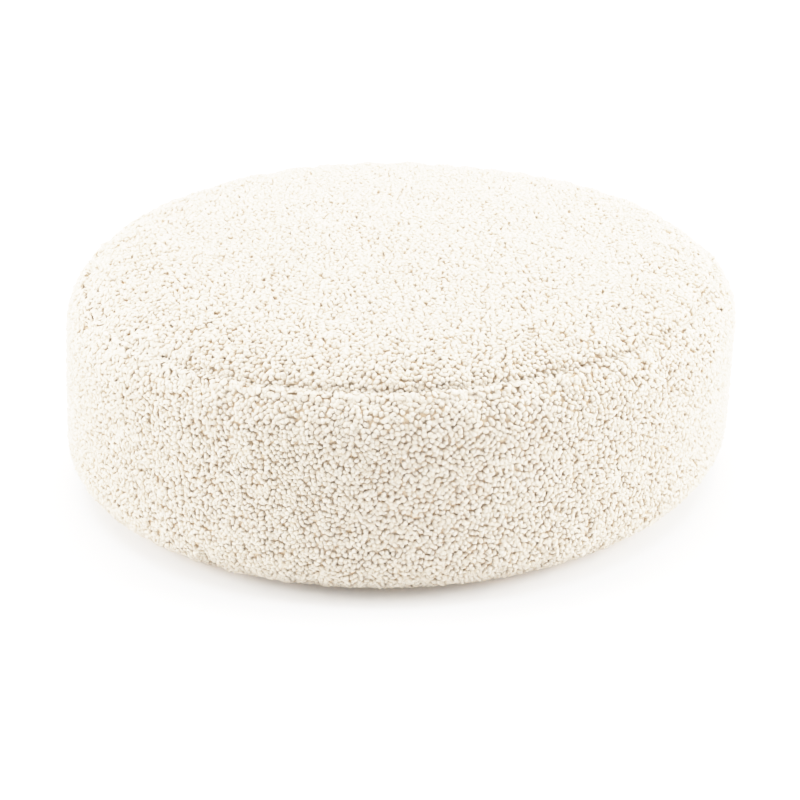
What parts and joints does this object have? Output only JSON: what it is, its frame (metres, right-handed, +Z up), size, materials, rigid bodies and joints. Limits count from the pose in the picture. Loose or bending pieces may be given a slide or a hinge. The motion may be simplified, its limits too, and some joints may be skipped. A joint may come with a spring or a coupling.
{
  "type": "round pouf ottoman",
  "caption": "Low round pouf ottoman in short curly pile: a crowned top disc seamed to a filled side band that turns under at the foot, on a flat base cloth.",
  "frame": {"origin": "on the floor, below the middle of the pouf's box", "axes": "+Z up, the pouf's short way; -Y is the front that the picture shows; +X is to the right of it"},
  "size_m": [0.6034, 0.6034, 0.2197],
  "materials": {
    "cream_pile": "matt curly pile",
    "cream_pile_of_the_band": "matt curly pile",
    "taupe_canvas": "matt plain weave"
  },
  "bodies": {
    "root": {"top_panel": "cream_pile", "side_band": "cream_pile_of_the_band", "base_panel": "taupe_canvas"}
  },
  "joints": []
}
